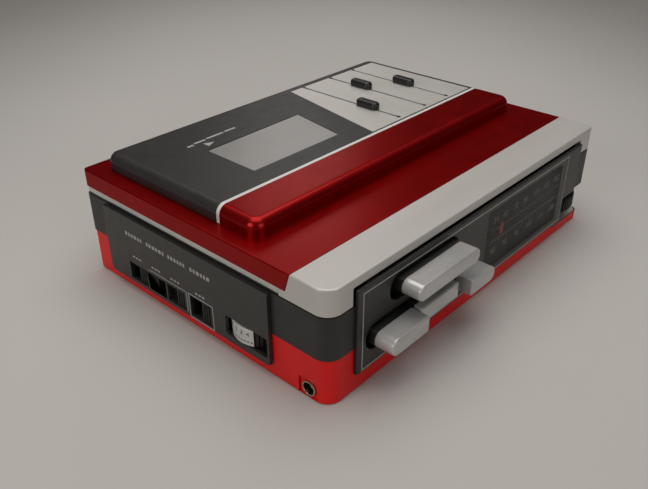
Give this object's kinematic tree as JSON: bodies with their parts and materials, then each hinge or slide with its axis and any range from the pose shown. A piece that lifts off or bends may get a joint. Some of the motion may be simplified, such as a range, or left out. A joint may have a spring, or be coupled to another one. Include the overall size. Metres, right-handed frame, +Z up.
{
  "type": "portable cassette player",
  "caption": "Portable cassette player with radio: red case, hinged lid with tape window and tone sliders, piano keys, tuning dial and thumb wheels.",
  "frame": {"origin": "centre of the flat underside of the case", "axes": "+Z up, +X along the long side, -Y the side with the keys and the dial, -X the side with the switches"},
  "size_m": [0.1457, 0.1162, 0.0457],
  "materials": {
    "red_case": "satin red moulding",
    "red_lid": "satin metallic red",
    "black_case": "fine textured black",
    "black_plate": "satin black",
    "silver_trim": "satin silver",
    "silver_panel": "satin silver",
    "key_silver": "silver, slightly clear",
    "inner_black": "plain moulding",
    "white_line": "satin white",
    "window_grey": "smoked",
    "lens_dark": "smoked",
    "scale_print": "printed scale",
    "pointer_red": "gloss red",
    "knob_black": "ribbed",
    "wheel_light": "light grey, knurled",
    "steel": "bright",
    "chrome": "bright",
    "brass_part": "plain",
    "belt_rubber": "matt",
    "board_green": "laminate with parts",
    "ferrite": "sintered",
    "nickel": "plated"
  },
  "bodies": {
    "chassis": {"lower_shell": "red_case", "middle_frame": "black_case", "control_panel": "black_plate", "switch_plate": "black_plate", "dial_scale": "scale_print", "dial_lens": "lens_dark", "key_guide": "inner_black", "key_return_spring": "steel", "deck_plate": "steel", "capstan_bearing": "brass_part", "drive_motor": "nickel", "drive_belt": "belt_rubber", "main_board": "board_green", "switch_board": "board_green", "switch_bodies": "nickel", "battery_contacts": "nickel", "dc_jack": "chrome", "headphone_jack": "inner_black", "volume_pot": "nickel", "tuning_capacitor": "inner_black", "ferrite_antenna": "ferrite", "hinge_pins": "steel", "case_screws": "steel"},
    "lid": {"top_cover": "red_lid", "front_fascia": "silver_trim", "side_trim": "silver_trim", "door_panel": "black_plate", "door_window": "window_grey", "eq_panel": "silver_panel", "pinstripe": "white_line", "eq_board": "board_green", "cassette_springs": "steel", "lid_catch": "inner_black"},
    "stop_key": {"stop_key_cap": "key_silver", "stop_key_stem": "inner_black"},
    "rewind_key": {"rewind_key_cap": "key_silver", "rewind_key_stem": "inner_black"},
    "play_key": {"play_key_cap": "key_silver", "play_key_stem": "inner_black"},
    "fast_forward_key": {"fast_forward_key_cap": "key_silver", "fast_forward_key_stem": "inner_black"},
    "head": {"head_plate": "steel", "tape_head": "nickel"},
    "roller": {"pinch_roller": "belt_rubber"},
    "flywheel": {"capstan_flywheel": "steel"},
    "pulley": {"motor_pulley": "brass_part"},
    "supply_reel": {"supply_spindle": "inner_black"},
    "takeup_reel": {"takeup_spindle": "inner_black"},
    "slider_a": {"eq_knob_a": "knob_black"},
    "slider_b": {"eq_knob_b": "knob_black"},
    "slider_c": {"eq_knob_c": "knob_black"},
    "switch_a": {"mode_switch_knob_a": "knob_black"},
    "switch_b": {"mode_switch_knob_b": "knob_black"},
    "switch_c": {"mode_switch_knob_c": "knob_black"},
    "switch_d": {"mode_switch_knob_d": "knob_black"},
    "volume": {"volume_wheel": "wheel_light"},
    "tuning": {"tuning_wheel": "knob_black"},
    "pointer": {"dial_pointer": "pointer_red"},
    "battery_door": {"battery_cover": "red_case"}
  },
  "joints": [
    {"name": "lid_hinge", "type": "hinge", "parent": "chassis", "child": "lid", "pos_m": [0, 0.0522, 0.0295], "axis": [-1, 0, 0], "range_deg": [0, 75]},
    {"name": "stop_key_press", "type": "slide", "parent": "chassis", "child": "stop_key", "axis": [0, 1, 0], "range_m": [0, 0.004], "stiffness_N_per_m": 300},
    {"name": "rewind_key_press", "type": "slide", "parent": "chassis", "child": "rewind_key", "axis": [0, 1, 0], "range_m": [0, 0.004], "stiffness_N_per_m": 300},
    {"name": "play_key_press", "type": "slide", "parent": "chassis", "child": "play_key", "axis": [0, 1, 0], "range_m": [0, 0.0035], "stiffness_N_per_m": 300},
    {"name": "fast_forward_key_press", "type": "slide", "parent": "chassis", "child": "fast_forward_key", "axis": [0, 1, 0], "range_m": [0, 0.004], "stiffness_N_per_m": 300},
    {"name": "head_slide", "type": "slide", "parent": "chassis", "child": "head", "axis": [0, 1, 0], "range_m": [0, 0.0035]},
    {"name": "roller_spin", "type": "hinge", "parent": "head", "child": "roller", "pos_m": [0.012, -0.0164, 0.027], "axis": [0, 0, 1], "continuous": true},
    {"name": "flywheel_spin", "type": "hinge", "parent": "chassis", "child": "flywheel", "pos_m": [0.012, -0.007, 0.01], "axis": [0, 0, 1], "continuous": true},
    {"name": "pulley_spin", "type": "hinge", "parent": "chassis", "child": "pulley", "pos_m": [0.05, -0.005, 0.009], "axis": [0, 0, 1], "continuous": true},
    {"name": "supply_spin", "type": "hinge", "parent": "chassis", "child": "supply_reel", "pos_m": [-0.04, 0.018, 0.022], "axis": [0, 0, 1], "continuous": true},
    {"name": "takeup_spin", "type": "hinge", "parent": "chassis", "child": "takeup_reel", "pos_m": [0.00245, 0.018, 0.022], "axis": [0, 0, 1], "continuous": true},
    {"name": "slider_a_slide", "type": "slide", "parent": "lid", "child": "slider_a", "axis": [0, 1, 0], "range_m": [-0.0025, 0.0255]},
    {"name": "slider_b_slide", "type": "slide", "parent": "lid", "child": "slider_b", "axis": [0, 1, 0], "range_m": [-0.0185, 0.0095]},
    {"name": "slider_c_slide", "type": "slide", "parent": "lid", "child": "slider_c", "axis": [0, 1, 0], "range_m": [-0.0085, 0.0195]},
    {"name": "switch_a_slide", "type": "slide", "parent": "chassis", "child": "switch_a", "axis": [0, 1, 0], "range_m": [0, 0.0046]},
    {"name": "switch_b_slide", "type": "slide", "parent": "chassis", "child": "switch_b", "axis": [0, 1, 0], "range_m": [-0.0039, 0]},
    {"name": "switch_c_slide", "type": "slide", "parent": "chassis", "child": "switch_c", "axis": [0, 1, 0], "range_m": [0, 0.0041]},
    {"name": "switch_d_slide", "type": "slide", "parent": "chassis", "child": "switch_d", "axis": [0, 1, 0], "range_m": [0, 0.0049]},
    {"name": "volume_turn", "type": "hinge", "parent": "chassis", "child": "volume", "pos_m": [-0.0642, -0.0215, 0.0098], "axis": [0, 0, 1], "range_deg": [0, 270]},
    {"name": "tuning_turn", "type": "hinge", "parent": "chassis", "child": "tuning", "pos_m": [0.0595, -0.0432, 0.011], "axis": [0, 0, 1], "range_deg": [-44.5, 229]},
    {"name": "pointer_slide", "type": "slide", "parent": "chassis", "child": "pointer", "axis": [1, 0, 0], "range_m": [-0.0071, 0.0361]},
    {"name": "battery_door_slide", "type": "slide", "parent": "chassis", "child": "battery_door", "axis": [0, 1, 0], "range_m": [0, 0.034]}
  ],
  "couplings": [
    {"joint": "head_slide", "follows": "play_key_press", "ratio": 1},
    {"joint": "pulley_spin", "follows": "flywheel_spin", "ratio": 3.75},
    {"joint": "pointer_slide", "follows": "tuning_turn", "m_per_rad": 0.009}
  ]
}
